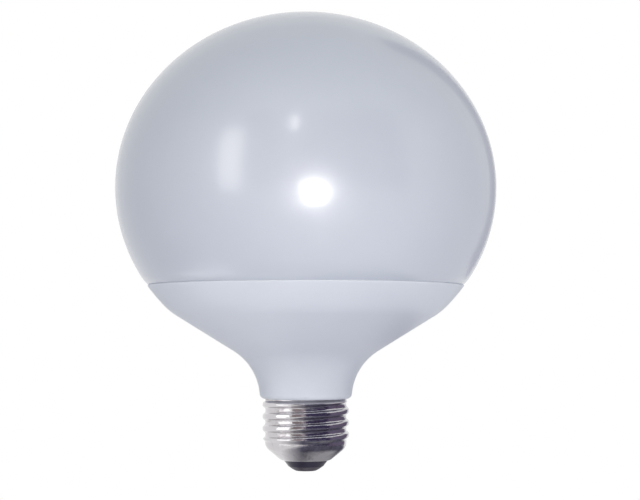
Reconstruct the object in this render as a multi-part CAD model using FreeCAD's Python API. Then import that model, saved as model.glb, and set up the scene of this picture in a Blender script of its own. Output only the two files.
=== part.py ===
import FreeCAD, Part
import math
import os
from FreeCAD import Vector

# Globe bulb in millimetres. Z runs up the bulb's axis from the flat end of its centre contact.

# Centre contact: a domed rivet
CONTACT_R = 5.15
CONTACT_FLAT_R = 3.1
CONTACT_HEAD_H = 1.3
SHANK_R = 1.6
CLENCH_R = 2.4
CLENCH_H = 0.5

# Cap insulator: glass moulded through the hole in the shell's lip
INSULATOR_H = 1.8
INSULATOR_LAND = 0.15
INSULATOR_GRIP = 0.7
INSULATOR_INNER_H = 1.8
BORE_CLEARANCE = 0.05

# Screw shell: a pressed cup with a rolled right-hand thread, seven turns to the inch
SHELL_WALL = 0.3
SHELL_H = 18.55
SHELL_BASE_H = 5.4
SHELL_BEND_R = 3.0
LIP_R = 5.6
LIP_W = 1.1
LIP_BEND_R = 2.0
CREST_R = 13.15
THREAD_DEPTH = 0.84
THREAD_PITCH = 25.4 / 7
THREAD_FADE = 1.4
FIRST_CREST_DROP = 3.55

# Housing: moulded in one piece, from the seam under the globe to the spigot inside the shell
NECK_OVERHANG = 0.8
NECK_ROUND = 1.6
FLARE_R = 17.0
FLARE_H = 26.15
SHOULDER_ROUND = 20.0
BAND_H = 8.2
HOUSING_WALL = 2.5
HOUSING_EDGE_ROUND = 0.2
SPIGOT_CLEARANCE = 0.15
SPIGOT_END_GAP = 0.8
SPIGOT_CHAMFER = 0.6

# Globe: a spheroid a little wider than it is tall, tucked in behind the housing's rim, with a plug under it
GLOBE_R = 57.9
GLOBE_HALF_H = 53.4
SEAM_DROP = 29.6
TUCK_H = 2.6
SEAM_STEP = 0.45
PLUG_H = 3.0
PLUG_CHAMFER = 0.5
PLUG_CLEARANCE = 0.2

# Fineness of the thread: circles stacked along one pitch
RINGS_PER_PITCH = 8

# Levels up the axis
LIP_Z = CONTACT_HEAD_H + INSULATOR_H
FOOT_Z = LIP_Z + SHELL_BASE_H
RIM_Z = LIP_Z + SHELL_H
SHOULDER_Z = RIM_Z + FLARE_H
SEAM_Z = SHOULDER_Z + BAND_H
GLOBE_Z = SEAM_Z + SEAM_DROP
RECESS_Z = SEAM_Z - PLUG_H - PLUG_CLEARANCE

# Radii that follow from the fits
ROOT_R = CREST_R - THREAD_DEPTH
LIP_FLAT_R = LIP_R + LIP_W
NECK_R = CREST_R + NECK_OVERHANG
SPIGOT_R = ROOT_R - SHELL_WALL - SPIGOT_CLEARANCE
BORE_R = SHANK_R + BORE_CLEARANCE

AXIS = Vector(0, 0, 1)
SNAP = 1e-4


def at(r, z):
    """Point of a turned outline at radius r and height z."""
    return Vector(r, 0, z)


def lines(*points):
    """Straight edges from each point to the next."""
    return [Part.LineSegment(a, b).toShape() for a, b in zip(points, points[1:])]


def round_edge(centre, radius, start, end):
    """Arc about a centre in the outline's plane between two angles in radians, the short way."""
    def on(angle):
        return centre + at(radius * math.cos(angle), radius * math.sin(angle))
    return Part.Arc(on(start), on((start + end) / 2), on(end)).toShape()


def turned(edges):
    """Solid of revolution of a closed outline about the bulb's axis."""
    outline = Part.Wire(Part.__sortEdges__(edges))
    return Part.Face(outline).revolve(Vector(), AXIS, 360)


def ring(solid, r, z):
    """The round edge of a turned solid that lies at radius r and height z."""
    edges = [e for e in solid.Edges if not e.Degenerated]
    circles = [e for e in edges if isinstance(e.Curve, Part.Circle)]
    return [e for e in circles if abs(e.Curve.Radius - r) < SNAP and abs(e.Curve.Center.z - z) < SNAP]


def globe_radius(z):
    """Radius of the globe's spheroid at height z."""
    return GLOBE_R * math.sqrt(1 - ((z - GLOBE_Z) / GLOBE_HALF_H) ** 2)


def recess_radius():
    """Radius of the recess in the housing that the globe's plug drops into."""
    return globe_radius(RECESS_Z) - HOUSING_WALL


def globe_arc(low, high):
    """Outline of the spheroid between two of its points."""
    centre = at(0, GLOBE_Z)
    foot = at(0, GLOBE_Z - GLOBE_HALF_H)
    if GLOBE_R > GLOBE_HALF_H:
        ellipse = Part.Ellipse(at(-GLOBE_R, GLOBE_Z), foot, centre)
    else:
        ellipse = Part.Ellipse(foot, at(GLOBE_R, GLOBE_Z), centre)
    return ellipse.toNurbs(ellipse.parameter(low), ellipse.parameter(high)).toShape()


def centre_contact():
    """Rivet: a dome with a flat end, a shank through the insulator and a clenched collar on its far side."""
    dome_z = (CONTACT_R ** 2 + CONTACT_HEAD_H ** 2 - CONTACT_FLAT_R ** 2) / (2 * CONTACT_HEAD_H)
    dome_r = math.hypot(CONTACT_FLAT_R, dome_z)
    flat_angle = math.atan2(-dome_z, CONTACT_FLAT_R)
    rim_angle = math.atan2(CONTACT_HEAD_H - dome_z, CONTACT_R)
    inner_z = LIP_Z + SHELL_WALL + INSULATOR_INNER_H
    edges = [round_edge(at(0, dome_z), dome_r, flat_angle, rim_angle)]
    edges += lines(
        at(CONTACT_R, CONTACT_HEAD_H), at(SHANK_R, CONTACT_HEAD_H), at(SHANK_R, inner_z),
        at(CLENCH_R, inner_z), at(CLENCH_R, inner_z + CLENCH_H), at(0, inner_z + CLENCH_H),
        at(0, 0), at(CONTACT_FLAT_R, 0))
    return turned(edges)


def cap_insulator():
    """Glass button: a cone outside the lip, a stem through its hole and a wider head inside."""
    stem_r = LIP_R - BORE_CLEARANCE
    grip_r = LIP_R + INSULATOR_GRIP
    grip_z = LIP_Z + SHELL_WALL
    top_z = grip_z + INSULATOR_INNER_H
    foot_r = CONTACT_R + INSULATOR_LAND
    return turned(lines(
        at(BORE_R, CONTACT_HEAD_H), at(foot_r, CONTACT_HEAD_H), at(LIP_FLAT_R, LIP_Z), at(stem_r, LIP_Z),
        at(stem_r, grip_z), at(grip_r, grip_z), at(grip_r, top_z), at(BORE_R, top_z),
        at(BORE_R, CONTACT_HEAD_H)))


def thread_core(root_r):
    """Sleeve from the shell's foot to its rim, filled: a stack of circles whose centres wind up a slim
    right-hand helix, so that each circle reaches out to a crest, and swing in to the axis at both ends."""
    rows = round((RIM_Z - FOOT_Z) / THREAD_PITCH * RINGS_PER_PITCH)
    rings = []
    for row in range(rows + 1):
        z = FOOT_Z + (RIM_Z - FOOT_Z) * row / rows
        share = min(1, (z - FOOT_Z) / THREAD_FADE, (RIM_Z - z) / THREAD_FADE)
        swing = THREAD_DEPTH / 2 * share * share * (3 - 2 * share)
        angle = 2 * math.pi * (z - RIM_Z + FIRST_CREST_DROP) / THREAD_PITCH
        centre = Vector(swing * math.cos(angle), swing * math.sin(angle), z)
        rings.append(Part.Wire(Part.makeCircle(root_r + swing, centre)))
    return Part.makeLoft(rings, True, True)


def shell_core(depth):
    """All that lies inside the skin at a depth under the shell's outside: base with its bends, and sleeve."""
    bend = at(ROOT_R - SHELL_BEND_R, FOOT_Z)
    lip_bend = at(LIP_FLAT_R, LIP_Z + LIP_BEND_R)
    across = lip_bend - bend
    turn = math.atan2(across.z, across.x) + math.acos((SHELL_BEND_R - LIP_BEND_R) / across.Length)
    bend_r = SHELL_BEND_R - depth
    lip_bend_r = LIP_BEND_R - depth
    out = at(math.cos(turn), math.sin(turn))
    edges = [round_edge(bend, bend_r, 0, turn), round_edge(lip_bend, lip_bend_r, turn, -math.pi / 2)]
    edges += lines(bend + out * bend_r, lip_bend + out * lip_bend_r)
    edges += lines(
        at(LIP_FLAT_R, LIP_Z + depth), at(0, LIP_Z + depth), at(0, FOOT_Z), at(ROOT_R - depth, FOOT_Z))
    return turned(edges).fuse(thread_core(ROOT_R - depth))


def screw_shell():
    """Pressed shell of even wall: threaded sleeve, bend, cone and a flat lip with a hole."""
    hole = Part.makeCylinder(LIP_R, SHELL_WALL, at(0, LIP_Z))
    inside = shell_core(SHELL_WALL).fuse(hole)
    return shell_core(0).cut(inside).Solids[0]


def housing():
    """Moulded body: spigot, neck, flare on an arc, straight cone and the band that carries on the globe."""
    spigot_z = FOOT_Z + SPIGOT_END_GAP
    seam = at(globe_radius(SEAM_Z), SEAM_Z)
    shoulder = at(globe_radius(SHOULDER_Z), SHOULDER_Z)
    flare = at(NECK_R + FLARE_R, RIM_Z)
    reach = shoulder - flare
    tangent = math.atan2(reach.z, reach.x) + math.acos(FLARE_R / reach.Length)
    cone_foot = flare + at(FLARE_R * math.cos(tangent), FLARE_R * math.sin(tangent))
    edges = lines(
        at(0, RECESS_Z), at(0, spigot_z), at(SPIGOT_R, spigot_z), at(SPIGOT_R, RIM_Z), at(NECK_R, RIM_Z))
    edges += [round_edge(flare, FLARE_R, math.pi, tangent)]
    edges += lines(cone_foot, shoulder)
    edges += [globe_arc(shoulder, seam)]
    recess_r = recess_radius()
    edges += lines(seam, at(recess_r, SEAM_Z), at(recess_r, RECESS_Z), at(0, RECESS_Z))
    body = turned(edges)
    body = body.makeFillet(SHOULDER_ROUND, ring(body, shoulder.x, SHOULDER_Z))
    body = body.makeFillet(NECK_ROUND, ring(body, NECK_R, RIM_Z))
    body = body.makeFillet(HOUSING_EDGE_ROUND, ring(body, seam.x, SEAM_Z))
    return body.makeChamfer(SPIGOT_CHAMFER, ring(body, SPIGOT_R, spigot_z))


def diffuser_globe():
    """Milky globe above the seam, solid through: its lower edge leaves the spheroid on a tangent arc that ends a
    step inside the housing's rim, over the plug that drops into the housing."""
    tuck = at(globe_radius(SEAM_Z + TUCK_H), SEAM_Z + TUCK_H)
    foot = at(globe_radius(SEAM_Z) - SEAM_STEP, SEAM_Z)
    out = at(tuck.x / GLOBE_R ** 2, (tuck.z - GLOBE_Z) / GLOBE_HALF_H ** 2).normalize()
    chord = foot - tuck
    tuck_r = -chord.dot(chord) / (2 * chord.dot(out))
    centre = tuck - out * tuck_r
    low, high = [math.atan2(end.z - centre.z, end.x - centre.x) for end in (foot, tuck)]
    crown = at(0, GLOBE_Z + GLOBE_HALF_H)
    plug_r = recess_radius() - PLUG_CLEARANCE
    plug_z = SEAM_Z - PLUG_H
    edges = [round_edge(centre, tuck_r, low, high), globe_arc(tuck, crown)]
    edges += lines(foot, at(plug_r, SEAM_Z), at(plug_r, plug_z), at(0, plug_z), crown)
    globe = turned(edges)
    return globe.makeChamfer(PLUG_CHAMFER, ring(globe, plug_r, plug_z))


os.makedirs("parts", exist_ok=True)
for piece in (diffuser_globe, housing, screw_shell, cap_insulator, centre_contact):
    piece().exportStep(f"parts/{piece.__name__}.step")
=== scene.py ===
import math
import bpy
import numpy as np
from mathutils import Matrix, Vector


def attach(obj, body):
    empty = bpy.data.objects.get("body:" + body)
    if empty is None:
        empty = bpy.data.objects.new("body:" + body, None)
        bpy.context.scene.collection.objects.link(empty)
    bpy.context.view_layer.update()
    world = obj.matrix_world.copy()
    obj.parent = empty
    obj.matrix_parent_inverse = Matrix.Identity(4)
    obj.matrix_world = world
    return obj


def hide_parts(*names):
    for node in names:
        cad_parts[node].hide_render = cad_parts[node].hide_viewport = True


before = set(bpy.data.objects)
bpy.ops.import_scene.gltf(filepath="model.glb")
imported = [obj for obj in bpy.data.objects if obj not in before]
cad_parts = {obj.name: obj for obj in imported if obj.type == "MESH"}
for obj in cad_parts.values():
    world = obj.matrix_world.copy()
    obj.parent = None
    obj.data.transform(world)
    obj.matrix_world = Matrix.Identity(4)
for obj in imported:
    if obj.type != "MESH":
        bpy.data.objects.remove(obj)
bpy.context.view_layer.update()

MM = 0.001

# Screw shell, in millimetres up the bulb's axis from the flat end of the centre contact
LIP_Z = 3.1
FOOT_Z = 8.5
RIM_Z = 21.65
SHELL_WALL = 0.3
SHELL_BEND_R = 3.0
LIP_R = 5.6
LIP_FLAT_R = 6.7
LIP_BEND_R = 2.0
CREST_R = 13.15
THREAD_DEPTH = 0.84
THREAD_PITCH = 25.4 / 7
THREAD_FADE = 1.4
FIRST_CREST_DROP = 3.55
THREAD_FULLNESS = 1.7
ROOT_R = CREST_R - THREAD_DEPTH

# Housing
NECK_R = 13.95
NECK_ROUND = 1.6
FLARE_R = 17.0
SHOULDER_Z = 47.8
SHOULDER_ROUND = 20.0
HOUSING_WALL = 2.5
HOUSING_EDGE_ROUND = 0.2
SPIGOT_R = 11.86
SPIGOT_Z = 9.3
SPIGOT_CHAMFER = 0.6

# Globe
GLOBE_R = 57.9
GLOBE_HALF_H = 53.4
GLOBE_Z = 85.6
SEAM_Z = 56.0
TUCK_H = 2.6
SEAM_STEP = 0.45
PLUG_H = 3.0
PLUG_CHAMFER = 0.5
PLUG_CLEARANCE = 0.2
RECESS_Z = SEAM_Z - PLUG_H - PLUG_CLEARANCE

# Fineness of the turned surfaces
ROUND_STEPS = 288
ARC_STEPS = 14
FLARE_STEPS = 56
SHOULDER_STEPS = 28
BAND_STEPS = 28
GLOBE_STEPS = 160
THREAD_STEPS = 130
SEARCH_STEPS = 4000
CREASE_ANGLE = math.radians(40)

# Photograph's viewpoint
EYE = Vector((4.3, -430.0, 42.0)) * MM
TILT_UP = math.radians(3.31)
LENS = 79.25
SENSOR = 36.0
NEAREST_SEEN = 0.01


def arc(centre, radius, start, end, steps=ARC_STEPS):
    """Outline of a round edge as rows of (r, z): centre plus radius times (cos, sin) of evenly spaced
    angles."""
    angle = np.linspace(start, end, steps)
    return np.asarray(centre) + radius * np.stack([np.cos(angle), np.sin(angle)], 1)


def spheroid(angle):
    """Points and outward normals of the globe's outline: (R cos t, centre + H sin t), and the normal is the
    gradient of the ellipse, (cos t / R, sin t / H) made one long."""
    point = np.stack([GLOBE_R * np.cos(angle), GLOBE_Z + GLOBE_HALF_H * np.sin(angle)], 1)
    normal = np.stack([np.cos(angle) / GLOBE_R, np.sin(angle) / GLOBE_HALF_H], 1)
    return point, normal / np.linalg.norm(normal, axis=1, keepdims=True)


def globe_angle(z):
    """Ellipse angle of the globe's outline at a height: the arc sine of the height over the half height."""
    return math.asin((z - GLOBE_Z) / GLOBE_HALF_H)


def inside_round(radius, miss):
    """Where a ball of a radius, rolled along the inside of the globe's outline, meets a second line: the
    highest angle at which miss, a signed distance of the ball's centre from where it should be, goes through
    nought. Gives that angle, the ball's centre and the direction of the outline's normal there."""
    angle = np.linspace(-math.pi / 2, 0, SEARCH_STEPS)
    point, normal = spheroid(angle)
    gap = miss(point - radius * normal)
    last = np.nonzero(np.diff(np.sign(gap)))[0][-1]
    touch = angle[last] + (angle[last + 1] - angle[last]) * gap[last] / (gap[last] - gap[last + 1])
    point, normal = spheroid(np.array([touch]))
    return touch, point[0] - radius * normal[0], math.atan2(normal[0, 1], normal[0, 0])


def recess_radius():
    """Radius of the recess under the globe: the globe's own radius there less the housing's wall."""
    return GLOBE_R * math.cos(globe_angle(RECESS_Z)) - HOUSING_WALL


def housing_outline():
    """Outline of the housing as rows of (r, z): spigot, rounded neck, flare on an arc, straight cone that is
    tangent to it, rounded shoulder, band of the globe's own ellipse, rounded top edge and recess."""
    flare = np.array([NECK_R + FLARE_R, RIM_Z])
    shoulder = spheroid(np.array([globe_angle(SHOULDER_Z)]))[0][0]
    reach = shoulder - flare
    turn = math.atan2(reach[1], reach[0]) + math.acos(FLARE_R / np.hypot(*reach))
    out = -np.array([math.cos(turn), math.sin(turn)])
    foot = flare - FLARE_R * out
    run = math.sqrt((FLARE_R + NECK_ROUND) ** 2 - NECK_ROUND ** 2)
    neck = flare + np.array([-run, NECK_ROUND])
    lean = math.atan2(NECK_ROUND, run)
    low, low_ball, low_turn = inside_round(
        SHOULDER_ROUND, lambda ball: (ball - foot) @ out + SHOULDER_ROUND)
    high, high_ball, high_turn = inside_round(
        HOUSING_EDGE_ROUND, lambda ball: ball[:, 1] - SEAM_Z + HOUSING_EDGE_ROUND)
    recess = recess_radius()
    return np.concatenate([
        [(0, SPIGOT_Z), (SPIGOT_R - SPIGOT_CHAMFER, SPIGOT_Z), (SPIGOT_R, SPIGOT_Z + SPIGOT_CHAMFER)],
        [(SPIGOT_R, RIM_Z)],
        arc(neck, NECK_ROUND, -math.pi / 2, -lean),
        arc(flare, FLARE_R, math.pi - lean, turn, FLARE_STEPS)[1:],
        arc(low_ball, SHOULDER_ROUND, math.atan2(out[1], out[0]), low_turn, SHOULDER_STEPS),
        spheroid(np.linspace(low, high, BAND_STEPS))[0][1:-1],
        arc(high_ball, HOUSING_EDGE_ROUND, high_turn, math.pi / 2),
        [(recess, SEAM_Z), (recess, RECESS_Z), (0, RECESS_Z)],
    ])


def globe_outline():
    """Outline of the globe as rows of (r, z): plug, flat seat, lower edge on an arc that is tangent to the
    ellipse and ends a step inside the rim, and the ellipse to the crown. The arc's radius is the square of
    its chord over twice the chord's run along the inward normal."""
    low = globe_angle(SEAM_Z + TUCK_H)
    (tuck,), (out,) = spheroid(np.array([low]))
    foot = spheroid(np.array([globe_angle(SEAM_Z)]))[0][0] - (SEAM_STEP, 0)
    chord = foot - tuck
    tuck_r = -(chord @ chord) / (2 * chord @ out)
    centre = tuck - tuck_r * out
    start, end = [math.atan2(*(tip - centre)[::-1]) for tip in (foot, tuck)]
    plug_r = recess_radius() - PLUG_CLEARANCE
    plug_z = SEAM_Z - PLUG_H
    outline = np.concatenate([
        [(0, plug_z), (plug_r - PLUG_CHAMFER, plug_z), (plug_r, plug_z + PLUG_CHAMFER), (plug_r, SEAM_Z)],
        arc(centre, tuck_r, start, end),
        spheroid(np.linspace(low, math.pi / 2, GLOBE_STEPS))[0][1:],
    ])
    outline[-1, 0] = 0
    return outline


def shell_skin(depth):
    """Outline of the shell at a depth under its outside as rows of (r, z), from the hole in the lip up to the
    rim: lip, its bend, the cone on the two bends' common tangent, the bend at the foot, and the sleeve."""
    bend = np.array([ROOT_R - SHELL_BEND_R, FOOT_Z])
    lip = np.array([LIP_FLAT_R, LIP_Z + LIP_BEND_R])
    across = lip - bend
    turn = math.atan2(across[1], across[0]) + math.acos((SHELL_BEND_R - LIP_BEND_R) / np.hypot(*across))
    height = np.linspace(FOOT_Z, RIM_Z, THREAD_STEPS)
    return np.concatenate([
        [(LIP_R, LIP_Z + depth)],
        arc(lip, LIP_BEND_R - depth, -math.pi / 2, turn),
        arc(bend, SHELL_BEND_R - depth, turn, 0),
        np.stack([np.full(THREAD_STEPS, ROOT_R - depth), height], 1)[1:],
    ])


def thread_rise(z, angle):
    """How far the rolled thread stands out of the root at a height and an angle: its depth times the mean of
    one and tanh(k cos f) / tanh(k), which has full crests and roots, where f is the angle past the crest's
    helix. It is eased in and out over the fade at both ends by 3s^2 - 2s^3."""
    share = np.clip(np.minimum(z - FOOT_Z, RIM_Z - z) / THREAD_FADE, 0, 1)
    past = angle - 2 * math.pi * (z - RIM_Z + FIRST_CREST_DROP) / THREAD_PITCH
    wave = np.tanh(THREAD_FULLNESS * np.cos(past)) / math.tanh(THREAD_FULLNESS)
    return THREAD_DEPTH * share * share * (3 - 2 * share) * (1 + wave) / 2


def carry_round(outline, rise=None):
    """Grid of points: each (r, z) of an outline makes a ring about the axis, and rise, a function of height
    and angle, adds to its radius."""
    angle = np.linspace(0, 2 * math.pi, ROUND_STEPS, endpoint=False) + math.pi / 2
    r, z = outline[:, :1], outline[:, 1:]
    reach = r + (rise(z, angle) if rise else 0 * angle)
    return np.stack([reach * np.cos(angle), reach * np.sin(angle), np.broadcast_to(z, reach.shape)], 2) * MM


def skin(name, grid, looped):
    """Mesh over a grid whose columns close round the axis. Rows close on themselves when looped, and
    otherwise the first and last row are poles: one point each, with a fan of triangles to the next ring."""
    rows, columns = grid.shape[:2]
    index = np.arange(rows * columns).reshape(rows, columns)
    points = grid.reshape(-1, 3)
    if looped:
        index = np.concatenate([index, index[:1]])
        ends = np.zeros((0, 3), int)
    else:
        points = points[columns - 1:-(columns - 1)]
        index = np.clip(index - (columns - 1), 0, len(points) - 1)
        around = np.roll(index, -1, axis=1)
        ends = np.concatenate([
            np.stack([index[0], around[1], index[1]], 1),
            np.stack([index[-2], around[-2], index[-1]], 1)])
        index = index[1:-1]
    around = np.roll(index, -1, axis=1)
    quads = np.stack([index[:-1], around[:-1], around[1:], index[1:]], 2).reshape(-1, 4)
    corners = np.concatenate([ends.ravel(), quads.ravel()]).astype(np.int32)
    sizes = np.concatenate([np.full(len(ends), 3), np.full(len(quads), 4)])
    starts = np.concatenate([[0], np.cumsum(sizes)[:-1]]).astype(np.int32)
    mesh = bpy.data.meshes.new(name)
    mesh.vertices.add(len(points))
    mesh.vertices.foreach_set("co", points.astype(np.float32).ravel())
    mesh.loops.add(len(corners))
    mesh.loops.foreach_set("vertex_index", corners)
    mesh.polygons.add(len(sizes))
    mesh.polygons.foreach_set("loop_start", starts)
    mesh.update(calc_edges=True)
    mesh.validate()
    mesh.shade_smooth()
    mesh.set_sharp_from_angle(angle=CREASE_ANGLE)
    piece = bpy.data.objects.new(name, mesh)
    bpy.context.scene.collection.objects.link(piece)
    return piece


def stand_for(piece, node, material):
    """Puts a finished piece in place of its node with a material: hangs it under the root and hides the node.
    """
    piece.data.materials.append(material)
    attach(piece, "root")
    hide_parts(node)


def thread_depth_marks(piece):
    """Point attribute groove: nought on the thread's crests and one at its roots, from the distance to the
    axis."""
    points = np.empty(len(piece.data.vertices) * 3, np.float32)
    piece.data.vertices.foreach_get("co", points)
    reach = np.hypot(points[0::3], points[1::3]) / MM
    groove = np.clip((CREST_R - reach) / THREAD_DEPTH, 0, 1)
    marks = piece.data.attributes.new("groove", "FLOAT", "POINT")
    marks.data.foreach_set("value", groove.astype(np.float32))


# Sockets of a Mix node that mixes colours
FIRST_COLOUR = 6
SECOND_COLOUR = 7
MIXED_COLOUR = 2


def put(tree, socket, value):
    """Links an output to a socket, or sets the socket's own value."""
    if isinstance(value, bpy.types.NodeSocket):
        tree.links.new(value, socket)
    else:
        socket.default_value = value


def fill_in(tree, made, inputs):
    """Sets or links a node's named inputs. An underscore stands for a space in a socket's name."""
    for name, value in inputs.items():
        put(tree, made.inputs[name.replace("_", " ")], value)


def add(tree, kind, **inputs):
    """New node of a kind with its named inputs."""
    made = tree.nodes.new("ShaderNode" + kind)
    fill_in(tree, made, inputs)
    return made


def work_out(tree, operation, first, second):
    """Output of a Math node over two values."""
    made = add(tree, "Math")
    made.operation = operation
    put(tree, made.inputs[0], first)
    put(tree, made.inputs[1], second)
    return made.outputs[0]


def measure(tree, operation, first, second):
    """Output of a Vector Math node that makes one value of two vectors."""
    made = add(tree, "VectorMath")
    made.operation = operation
    put(tree, made.inputs[0], first)
    put(tree, made.inputs[1], second)
    return made.outputs["Value"]


def shade_between(tree, share, first, second):
    """Colour between two colours by a share from 0 to 1."""
    made = add(tree, "Mix")
    made.data_type = "RGBA"
    put(tree, made.inputs["Factor"], share)
    put(tree, made.inputs[FIRST_COLOUR], first)
    put(tree, made.inputs[SECOND_COLOUR], second)
    return made.outputs[MIXED_COLOUR]


def rescale(tree, value, low, high, to_low, to_high):
    """Value carried from one range to another, held at both ends."""
    made = add(tree, "MapRange", Value=value, From_Min=low, From_Max=high, To_Min=to_low, To_Max=to_high)
    return made.outputs["Result"]


def place_on(tree):
    """Place on a piece in its own coordinates."""
    return add(tree, "TexCoord").outputs["Object"]


def new_effect(name, inputs, outputs):
    """Empty shader node group with float, vector or colour sockets, and its two end nodes' sockets."""
    tree = bpy.data.node_groups.new(name, "ShaderNodeTree")
    for socket, kind in inputs.items():
        tree.interface.new_socket(name=socket, in_out="INPUT", socket_type="NodeSocket" + kind)
    for socket, kind in outputs.items():
        tree.interface.new_socket(name=socket, in_out="OUTPUT", socket_type="NodeSocket" + kind)
    return tree, tree.nodes.new("NodeGroupInput").outputs, tree.nodes.new("NodeGroupOutput").inputs


def use(tree, effect, **inputs):
    """Outputs of an effect's group node in a material, with its named inputs."""
    made = tree.nodes.new("ShaderNodeGroup")
    made.node_tree = effect
    fill_in(tree, made, inputs)
    return made.outputs


# Noise values over which clouds go from the deep to the pale shade, and smears from none to full
CLOUD_RANGE = (0.3, 0.7)
SMEAR_RANGE = (0.48, 0.72)


def make_tint_drift():
    """Slow drift of a moulding's colour between two shades, in clouds of a size given by their count a
    metre."""
    tree, given, out = new_effect(
        "tint_drift", {"Scale": "Float", "Deep": "Color", "Pale": "Color"}, {"Color": "Color"})
    cloud = add(tree, "TexNoise", Vector=place_on(tree), Scale=given["Scale"], Detail=4.0, Roughness=0.55)
    drift = rescale(tree, cloud.outputs["Fac"], *CLOUD_RANGE, 0.0, 1.0)
    put(tree, out["Color"], shade_between(tree, drift, given["Deep"], given["Pale"]))
    return tree


def make_fine_relief():
    """Fine relief of a surface: noise on the place, stretched by a factor along each axis."""
    tree, given, out = new_effect("fine_relief", {"Scale": "Float", "Stretch": "Vector"}, {"Height": "Float"})
    stretched = add(tree, "Mapping", Vector=place_on(tree), Scale=given["Stretch"]).outputs["Vector"]
    grain = add(tree, "TexNoise", Vector=stretched, Scale=given["Scale"], Detail=3.0, Roughness=0.6)
    put(tree, out["Height"], grain.outputs["Fac"])
    return tree


def make_handling():
    """Wiped finger marks: warped noise cut off low, so that it leaves smears with clear ground between."""
    tree, given, out = new_effect("handling", {"Scale": "Float"}, {"Smear": "Float"})
    smear = add(
        tree, "TexNoise", Vector=place_on(tree), Scale=given["Scale"],
        Detail=6.0, Roughness=0.65, Distortion=1.6)
    put(tree, out["Smear"], rescale(tree, smear.outputs["Fac"], *SMEAR_RANGE, 0.0, 1.0))
    return tree


def make_specks():
    """Stray specks: dots at the middles of the cells whose random value passes a limit."""
    tree, given, out = new_effect(
        "specks", {"Scale": "Float", "Size": "Float", "Rare": "Float"}, {"Speck": "Float"})
    cells = add(tree, "TexVoronoi", Vector=place_on(tree), Scale=given["Scale"])
    near = work_out(tree, "LESS_THAN", cells.outputs["Distance"], given["Size"])
    pick = add(tree, "SeparateColor", Color=cells.outputs["Color"])
    chosen = work_out(tree, "GREATER_THAN", pick.outputs["Red"], given["Rare"])
    put(tree, out["Speck"], work_out(tree, "MULTIPLY", near, chosen))
    return tree


TINT_DRIFT = make_tint_drift()
FINE_RELIEF = make_fine_relief()
HANDLING = make_handling()
SPECKS = make_specks()
EVEN = (1, 1, 1)


def new_finish(name):
    """New material, its tree and its Principled shader."""
    material = bpy.data.materials.new(name)
    material.use_nodes = True
    tree = material.node_tree
    return material, tree, tree.nodes["Principled BSDF"]


def raise_by(tree, shader, height, distance):
    """Relief on the shader's normal: a height from 0 to 1 that stands for a distance in metres."""
    bump = add(tree, "Bump", Height=height, Distance=distance, Strength=1.0)
    put(tree, shader.inputs["Normal"], bump.outputs["Normal"])


def milky_globe():
    """Milky glossy moulding: faint clouds in the white, soft gloss with smears under a clear coat, slow waves
    and a few pale specks, partly dust and partly painted glints."""
    deep = (0.576, 0.598, 0.665, 1)
    pale = (0.603, 0.624, 0.689, 1)
    # fleck: pale specks, partly dust and partly painted glints
    fleck = (0.80, 0.82, 0.86, 1)
    clean_roughness = 0.235
    smeared_roughness = 0.255
    wave_height = 0.00008
    material, tree, shader = new_finish("milky_globe")
    tint = use(tree, TINT_DRIFT, Scale=22.0, Deep=deep, Pale=pale)["Color"]
    speck = use(tree, SPECKS, Scale=60.0, Size=0.022, Rare=0.93)["Speck"]
    smear = use(tree, HANDLING, Scale=30.0)["Smear"]
    wave = use(tree, FINE_RELIEF, Scale=70.0, Stretch=EVEN)["Height"]
    # Pale specks in the colour: partly dust, partly painted glints
    put(tree, shader.inputs["Base Color"], shade_between(tree, speck, tint, fleck))
    put(tree, shader.inputs["Roughness"], rescale(tree, smear, 0, 1, clean_roughness, smeared_roughness))
    shader.inputs["Coat Weight"].default_value = 0.35
    shader.inputs["Coat Roughness"].default_value = 0.12
    raise_by(tree, shader, wave, wave_height)
    return material


# Painted highlights, paler lines along the housing's top and foot: their height in millimetres, and how pale
# they are there
PAINTED_HIGHLIGHT_TOP = 0.9
PAINTED_HIGHLIGHT_FOOT = 1.6
PAINTED_HIGHLIGHT_TOP_SHARE = 0.35
PAINTED_HIGHLIGHT_FOOT_SHARE = 0.8


def satin_housing():
    """Satin moulding: fine spark-eroded grain, faint clouds in the white, smears, a few specks, and a painted
    highlight, a paler line, along its top and bottom edges."""
    deep = (0.712, 0.732, 0.786, 1)
    pale = (0.739, 0.759, 0.810, 1)
    # edge: the colour of the painted highlights at the top and foot
    edge = (0.86, 0.88, 0.92, 1)
    fleck = (0.45, 0.46, 0.50, 1)
    clean_roughness = 0.42
    smeared_roughness = 0.36
    grain_height = 0.00002
    material, tree, shader = new_finish("satin_housing")
    tint = use(tree, TINT_DRIFT, Scale=35.0, Deep=deep, Pale=pale)["Color"]
    speck = use(tree, SPECKS, Scale=110.0, Size=0.03, Rare=0.95)["Speck"]
    smear = use(tree, HANDLING, Scale=45.0)["Smear"]
    grain = use(tree, FINE_RELIEF, Scale=2200.0, Stretch=EVEN)["Height"]
    height = add(tree, "SeparateXYZ", Vector=place_on(tree)).outputs["Z"]
    # Painted highlights: the colour turns paler towards the seam and at the neck's foot
    top = rescale(tree, height, (SEAM_Z - PAINTED_HIGHLIGHT_TOP) * MM, SEAM_Z * MM, 0.0, PAINTED_HIGHLIGHT_TOP_SHARE)
    foot = rescale(tree, height, RIM_Z * MM, (RIM_Z + PAINTED_HIGHLIGHT_FOOT) * MM, PAINTED_HIGHLIGHT_FOOT_SHARE, 0.0)
    paler = shade_between(tree, work_out(tree, "MAXIMUM", top, foot), tint, edge)
    put(tree, shader.inputs["Base Color"], shade_between(tree, speck, paler, fleck))
    put(tree, shader.inputs["Roughness"], rescale(tree, smear, 0, 1, clean_roughness, smeared_roughness))
    raise_by(tree, shader, grain, grain_height)
    return material


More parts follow.
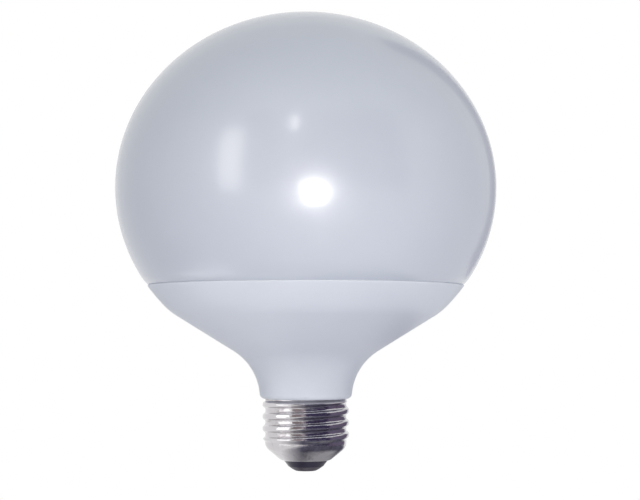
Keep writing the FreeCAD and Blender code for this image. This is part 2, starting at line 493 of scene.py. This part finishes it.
def plated_shell():
    """Bright nickel over rolled sheet: darker and duller towards the thread's roots, most where it was
    handled, with drawn lines round the shell and small ripples."""
    deep = (0.57, 0.555, 0.57, 1)
    pale = (0.65, 0.635, 0.655, 1)
    root_dark_colour = (0.22, 0.19, 0.20, 1)
    least_root_darkening = 0.06
    most_root_darkening = 0.75
    dull_root_darkening = 0.7
    bright_roughness = 0.09
    dull_roughness = 0.30
    line_share = 0.5
    ripple_height = 0.00008
    material, tree, shader = new_finish("plated_shell")
    groove = add(tree, "Attribute")
    groove.attribute_name = "groove"
    smear = use(tree, HANDLING, Scale=120.0)["Smear"]
    tint = use(tree, TINT_DRIFT, Scale=90.0, Deep=deep, Pale=pale)["Color"]
    lines = use(tree, FINE_RELIEF, Scale=260.0, Stretch=(1, 1, 9))["Height"]
    ripples = use(tree, FINE_RELIEF, Scale=480.0, Stretch=(1, 1, 1.5))["Height"]
    # Darker and duller towards the thread's roots, the more where the smears lie
    handled = rescale(tree, smear, 0, 1, least_root_darkening, most_root_darkening)
    root_darkening = work_out(tree, "MULTIPLY", groove.outputs["Fac"], handled)
    roughness = rescale(tree, root_darkening, 0, dull_root_darkening, bright_roughness, dull_roughness)
    relief = work_out(tree, "ADD", ripples, work_out(tree, "MULTIPLY", lines, line_share))
    put(tree, shader.inputs["Base Color"], shade_between(tree, root_darkening, tint, root_dark_colour))
    put(tree, shader.inputs["Roughness"], roughness)
    shader.inputs["Metallic"].default_value = 1.0
    raise_by(tree, shader, relief, ripple_height)
    return material


def black_glass():
    """Black moulded glass: a deep violet black with faint clouds, slight waves and dull smears."""
    deep = (0.024, 0.019, 0.040, 1)
    pale = (0.036, 0.030, 0.056, 1)
    clean_roughness = 0.16
    smeared_roughness = 0.34
    wave_height = 0.00005
    material, tree, shader = new_finish("black_glass")
    tint = use(tree, TINT_DRIFT, Scale=260.0, Deep=deep, Pale=pale)["Color"]
    smear = use(tree, HANDLING, Scale=200.0)["Smear"]
    wave = use(tree, FINE_RELIEF, Scale=350.0, Stretch=EVEN)["Height"]
    put(tree, shader.inputs["Base Color"], tint)
    put(tree, shader.inputs["Roughness"], rescale(tree, smear, 0, 1, clean_roughness, smeared_roughness))
    raise_by(tree, shader, wave, wave_height)
    return material


def contact_metal():
    """Tinned contact: grey metal with cloudy dull patches and a coarse cast skin."""
    deep = (0.15, 0.14, 0.17, 1)
    pale = (0.25, 0.23, 0.27, 1)
    clean_roughness = 0.42
    smeared_roughness = 0.58
    cast_height = 0.00004
    material, tree, shader = new_finish("contact_metal")
    tint = use(tree, TINT_DRIFT, Scale=420.0, Deep=deep, Pale=pale)["Color"]
    smear = use(tree, HANDLING, Scale=300.0)["Smear"]
    cast = use(tree, FINE_RELIEF, Scale=900.0, Stretch=EVEN)["Height"]
    put(tree, shader.inputs["Base Color"], tint)
    put(tree, shader.inputs["Roughness"], rescale(tree, smear, 0, 1, clean_roughness, smeared_roughness))
    shader.inputs["Metallic"].default_value = 1.0
    raise_by(tree, shader, cast, cast_height)
    return material


def dress():
    """The three large pieces as smooth surfaces of the same form, and finishes for the two small nodes."""
    globe = skin("globe", carry_round(globe_outline()), False)
    stand_for(globe, "diffuser_globe", milky_globe())
    body = skin("lower_housing", carry_round(housing_outline()), False)
    stand_for(body, "housing", satin_housing())
    outline = np.concatenate([shell_skin(0), shell_skin(SHELL_WALL)[::-1]])
    shell = skin("threaded_shell", carry_round(outline, thread_rise), True)
    thread_depth_marks(shell)
    stand_for(shell, "screw_shell", plated_shell())
    for node, material in (("cap_insulator", black_glass()), ("centre_contact", contact_metal())):
        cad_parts[node].data.materials.clear()
        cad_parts[node].data.materials.append(material)


WHITE = (1, 1, 1, 1)

# Floor: its radius in metres, its points, its card, its glow at the back and in front, the direction of the
# front, and how the glow dims round the cap: from and to which distance, and its share at both
FLOOR_R = 2.0
FLOOR_STEPS = 96
# The card is dark grey: reflections inside the bulb's shadow see it as painted deep shade
FLOOR_SHADE_CARD = (0.25, 0.235, 0.30, 1)
FLOOR_GLOW = (0.235, 0.545)
FLOOR_BRIGHT = (0.25, -0.97, 0.0)
FLOOR_DIM = (0.02, 0.09, 0.76, 1.0)

# Shadow of the bulb on the floor as the cap mirrors it, and a paler place in it under the lip: the middle of
# each, and from and to which distance it fades, with the share of white at both
SHADOW_SPOT = (0.036, -0.026, 0.0)
SHADOW_FADE = (0.040, 0.052, 0.0, 1.0)
PALE_SPOT = (0.005, -0.002, 0.0)
PALE_FADE = (0.006, 0.011, 0.35, 0.0)

# Studio light: its mean level, how far it rises and falls, the direction that it is brightest from, its tint
STUDIO_LEVEL = 0.50
STUDIO_SWING = 0.45
STUDIO_BRIGHT = Vector((0.08, -0.97, -0.17)).normalized()
STUDIO_TINT = (0.950, 1.010, 1.062, 1)


def seen_as_background(tree, mirrored_share=1.0):
    """Share of white that a ray finds: all of it for the camera, a share in reflections and for rays through
    glass, and none for the rays that light the bulb."""
    ray = add(tree, "LightPath").outputs
    mirrored = work_out(tree, "MAXIMUM", ray["Is Glossy Ray"], ray["Is Transmission Ray"])
    share = work_out(tree, "MULTIPLY", mirrored, mirrored_share)
    return work_out(tree, "MAXIMUM", ray["Is Camera Ray"], share)


def bare_material(name):
    """New material with an empty tree, and the tree."""
    material = bpy.data.materials.new(name)
    material.use_nodes = True
    material.node_tree.nodes.clear()
    return material, material.node_tree


def stage_piece(name, points, faces, material):
    """Mesh of the stage with a material, which isn't part of the bulb."""
    mesh = bpy.data.meshes.new(name)
    mesh.from_pydata(points.tolist(), [], faces.tolist())
    mesh.materials.append(material)
    piece = bpy.data.objects.new(name, mesh)
    bpy.context.scene.collection.objects.link(piece)
    return piece


def pale_floor():
    """Round floor under the contact: a disc of evenly spaced points. It bounces light as a dark grey card and
    glows a little on the bulb as a light table, most in front and least round the cap. The camera sees it
    white, and so do reflections outside the bulb's shadow; inside it they see the dark card as painted shade."""
    angle = np.linspace(0, 2 * math.pi, FLOOR_STEPS, endpoint=False)
    rim = np.stack([FLOOR_R * np.cos(angle), FLOOR_R * np.sin(angle), np.zeros_like(angle)], 1)
    material, tree = bare_material("pale_card")
    where = place_on(tree)
    shade = rescale(tree, measure(tree, "DISTANCE", where, SHADOW_SPOT), *SHADOW_FADE)
    pale = rescale(tree, measure(tree, "DISTANCE", where, PALE_SPOT), *PALE_FADE)
    mirrored = work_out(tree, "MAXIMUM", shade, pale)
    out = measure(tree, "DISTANCE", where, (0, 0, 0))
    front = work_out(tree, "DIVIDE", measure(tree, "DOT_PRODUCT", where, FLOOR_BRIGHT), out)
    level = rescale(tree, front, -1.0, 1.0, *FLOOR_GLOW)
    glow = work_out(tree, "MULTIPLY", level, rescale(tree, out, *FLOOR_DIM))
    glow = work_out(tree, "MULTIPLY", add(tree, "LightPath").outputs["Is Diffuse Ray"], glow)
    card = add(tree, "AddShader")
    put(tree, card.inputs[0], add(tree, "BsdfDiffuse", Color=FLOOR_SHADE_CARD).outputs[0])
    put(tree, card.inputs[1], add(tree, "Emission", Color=STUDIO_TINT, Strength=glow).outputs[0])
    white = add(tree, "Emission", Color=WHITE, Strength=1.0)
    mixed = add(tree, "MixShader", Fac=seen_as_background(tree, mirrored))
    put(tree, mixed.inputs[1], card.outputs[0])
    put(tree, mixed.inputs[2], white.outputs[0])
    put(tree, add(tree, "OutputMaterial").inputs["Surface"], mixed.outputs[0])
    stage_piece("floor", rim, np.arange(FLOOR_STEPS)[None], material)


# Surround that the plated cap mirrors: degrees from the camera, positive to the right, and its light
SURROUND = (
    (-75, (2.0, 2.0, 2.0)), (-41, (2.0, 2.0, 2.0)), (-38, (0.34, 0.28, 0.28)), (-12, (0.27, 0.225, 0.235)),
    (-9, (0.55, 0.49, 0.53)), (-5, (0.55, 0.49, 0.53)), (0, (0.13, 0.107, 0.16)), (5, (0.05, 0.039, 0.095)),
    (56, (0.05, 0.039, 0.09)), (62, (0.17, 0.14, 0.22)), (131, (0.16, 0.135, 0.20)),
    (133, (0.50, 0.49, 0.55)), (149, (0.50, 0.49, 0.55)))
SURROUND_PEAK = 2.0

# Its walls: first and last degree, distance and height in metres
WALLS = (
    (-75, -40, 0.07, 0.035), (-36, 56, 0.075, 0.016), (-38, 60, 0.85, 0.85), (48, 127, 0.045, 0.030),
    (133, 149, 0.30, 0.50))
WALL_STEPS = 48


def surround_colours(tree, turn):
    """Light of the surround as a ramp over one turn, the back at both ends, as a share of its peak."""
    ramp = add(tree, "ValToRGB", Fac=turn)
    bands = ramp.color_ramp.elements
    bands.remove(bands[-1])
    first = bands[0]
    for degrees, light in SURROUND:
        position = degrees / 360 + 0.5
        band = first if degrees == SURROUND[0][0] else bands.new(position)
        band.position = position
        band.color = (*(np.array(light) / SURROUND_PEAK), 1)
    return ramp.outputs["Color"]


def surround():
    """Curved upright walls that show in reflections alone: a low bright card to the left, a low dark sill in
    front with a tall dark room behind it, and to the right a low dark card and a tall grey one farther back.
    Each is a strip between two arcs, distance times (sin, -cos) of its degrees, on the floor and at its
    height."""
    angle = np.radians(np.linspace([w[0] for w in WALLS], [w[1] for w in WALLS], WALL_STEPS, axis=1))
    distance, height = np.array(WALLS).T[2:, :, None]
    foot = np.stack([distance * np.sin(angle), -distance * np.cos(angle), np.zeros_like(angle)], 2)
    points = np.stack([foot, foot + height[..., None] * (0, 0, 1)], 1)
    index = np.arange(points[..., 0].size).reshape(points.shape[:3])
    low, high = index[:, 0], index[:, 1]
    faces = np.stack([low[:, :-1], low[:, 1:], high[:, 1:], high[:, :-1]], 2).reshape(-1, 4)
    material, tree = bare_material("surround")
    way = add(tree, "SeparateXYZ", Vector=place_on(tree)).outputs
    back = work_out(tree, "MULTIPLY", way["Y"], -1.0)
    turn = work_out(tree, "MULTIPLY", work_out(tree, "ARCTAN2", way["X"], back), 1 / (2 * math.pi))
    colours = surround_colours(tree, work_out(tree, "ADD", turn, 0.5))
    wall = add(tree, "Emission", Color=colours, Strength=SURROUND_PEAK)
    put(tree, add(tree, "OutputMaterial").inputs["Surface"], wall.outputs[0])
    walls = stage_piece("surround", points.reshape(-1, 3), faces, material)
    walls.visible_camera = False
    walls.visible_diffuse = False
    walls.visible_shadow = False


def studio_world():
    """Soft studio light, brightest from the front and lowest from behind, and white for the camera and in
    reflections."""
    world = bpy.data.worlds.new("studio")
    bpy.context.scene.world = world
    world.use_nodes = True
    tree = world.node_tree
    tree.nodes.clear()
    facing = measure(tree, "DOT_PRODUCT", add(tree, "TexCoord").outputs["Generated"], STUDIO_BRIGHT)
    level = rescale(tree, facing, -1.0, 1.0, STUDIO_LEVEL - STUDIO_SWING, STUDIO_LEVEL + STUDIO_SWING)
    seen = seen_as_background(tree)
    shown = shade_between(tree, seen, STUDIO_TINT, WHITE)
    sky = add(tree, "Background", Color=shown, Strength=work_out(tree, "MAXIMUM", seen, level))
    put(tree, add(tree, "OutputWorld").inputs["Surface"], sky.outputs[0])


GLOBE_MIDDLE = Vector((0, 0, GLOBE_Z * MM))
LAMP_TINT = (1.0, 0.95, 0.87)

# Lamps: name, shape, width and height in metres, spot, watts, whether it shows in gloss alone or never does,
# and the degrees of its beam and of its roll
LAMPS = (
    ("lens_lamp", "DISK", (0.05, 0.05), (0.026, -0.288, 0.040), 0.20, False, 180, 0),
    ("lens_glint", "DISK", (0.06, 0.06), (0.026, -0.288, 0.040), 0.0215, True, 24, 0),
    ("lens_halo", "DISK", (0.11, 0.11), (0.016, -0.190, 0.0565), 0.0038, True, 30, 0),
    ("window", "RECTANGLE", (0.19, 0.50), (-0.497, -0.547, 0.240), 1.02, True, 180, 4),
    ("skylight", "RECTANGLE", (0.03, 0.09), (-0.058, -0.500, 0.430), 0.12, True, 180, 0),
    ("back_fill", "DISK", (0.30, 0.30), (0, 0.900, 0.120), 3.2, False, 180, 0))


def studio_lamps():
    """Soft area lamps that face the middle of the globe: a round lamp in front of the lens and under it with
    its glint and halo, the glints of a tall window to the left and a small one above, and a broad lamp behind
    that fills the bulb's back. They spare the plated shell, which mirrors the surround alone."""
    spared = bpy.data.collections.new("spared")
    spared.objects.link(bpy.data.objects["threaded_shell"])
    spared.collection_objects[0].light_linking.link_state = "EXCLUDE"
    for name, shape, size, spot, watts, glint, beam, roll in LAMPS:
        data = bpy.data.lights.new(name, "AREA")
        data.shape = shape
        data.size, data.size_y = size
        data.energy = watts
        data.spread = math.radians(beam)
        data.color = LAMP_TINT
        lamp = bpy.data.objects.new(name, data)
        lamp.location = spot
        lamp.rotation_euler = (GLOBE_MIDDLE - Vector(spot)).to_track_quat("-Z", "Y").to_euler()
        lamp.rotation_euler.rotate_axis("Z", math.radians(roll))
        lamp.visible_camera = False
        lamp.visible_diffuse = not glint
        lamp.visible_glossy = glint
        lamp.light_linking.receiver_collection = spared
        bpy.context.scene.collection.objects.link(lamp)


def camera():
    """Camera of the photograph: beside the axis, level with the housing and tilted up a little."""
    data = bpy.data.cameras.new("camera")
    data.sensor_width = SENSOR
    data.lens = LENS
    data.clip_start = NEAREST_SEEN
    made = bpy.data.objects.new("camera", data)
    made.location = EYE
    made.rotation_euler = (math.pi / 2 + TILT_UP, 0, 0)
    bpy.context.scene.collection.objects.link(made)
    bpy.context.scene.camera = made


bpy.context.scene.view_settings.view_transform = "Standard"
dress()
pale_floor()
surround()
studio_world()
studio_lamps()
camera()
